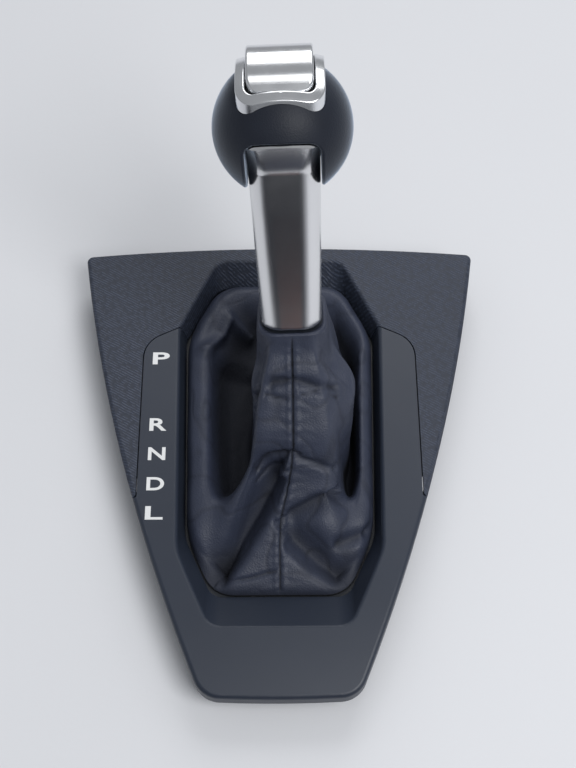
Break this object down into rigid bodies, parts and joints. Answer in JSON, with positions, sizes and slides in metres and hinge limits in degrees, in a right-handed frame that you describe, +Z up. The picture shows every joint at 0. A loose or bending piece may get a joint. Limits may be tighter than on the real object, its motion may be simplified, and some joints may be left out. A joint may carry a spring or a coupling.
{
  "type": "gear lever trim",
  "caption": "Console trim panel for an automatic gear lever, with a leather gaiter, plated stem sleeve, ball knob and a sprung push button on top.",
  "frame": {"origin": "bottom centre of the whole part's box, in the plane of the console clips' feet", "axes": "+Z up from the console, +Y towards the front of the car along the panel's length, +X to the right"},
  "size_m": [0.1892, 0.222, 0.1985],
  "materials": {
    "ribbed_panel": "fine ribbed grain",
    "smooth_bezel": "fine satin grain",
    "inner_plastic": "as moulded",
    "gaiter_leather": "soft satin leather",
    "grip_leather": "smooth satin leather",
    "satin_metal": "satin plated",
    "bright_plate": "satin bright plated",
    "fastener_steel": "zinc plated",
    "spring_steel": "spring steel"
  },
  "bodies": {
    "trim": {"upper_panel": "ribbed_panel", "lower_bezel": "smooth_bezel", "gaiter_frame": "inner_plastic", "gaiter": "gaiter_leather", "panel_screws": "fastener_steel", "frame_screws": "fastener_steel", "console_clips": "spring_steel"},
    "lever": {"stem_sleeve": "satin_metal", "lever_core": "inner_plastic", "gaiter_collar": "inner_plastic", "button_housing": "inner_plastic", "core_screws": "fastener_steel", "knob_grip": "grip_leather", "button_frame": "bright_plate", "button_spring": "spring_steel"},
    "button": {"button_cap": "bright_plate", "button_carrier": "inner_plastic", "push_rod": "fastener_steel"}
  },
  "joints": [
    {"name": "lever_tilt", "type": "hinge", "parent": "trim", "child": "lever", "pos_m": [0.00971, -0.00712, -0.02239], "axis": [1, 0, 0], "range_deg": [0, 22], "deforming": ["gaiter"]},
    {"name": "button_press", "type": "slide", "parent": "lever", "child": "button", "axis": [0.0349, -0.3776, -0.9253], "range_m": [0, 0.006], "stiffness_N_per_m": 800, "springref_m": -0.003, "deforming": ["button_spring"]}
  ]
}
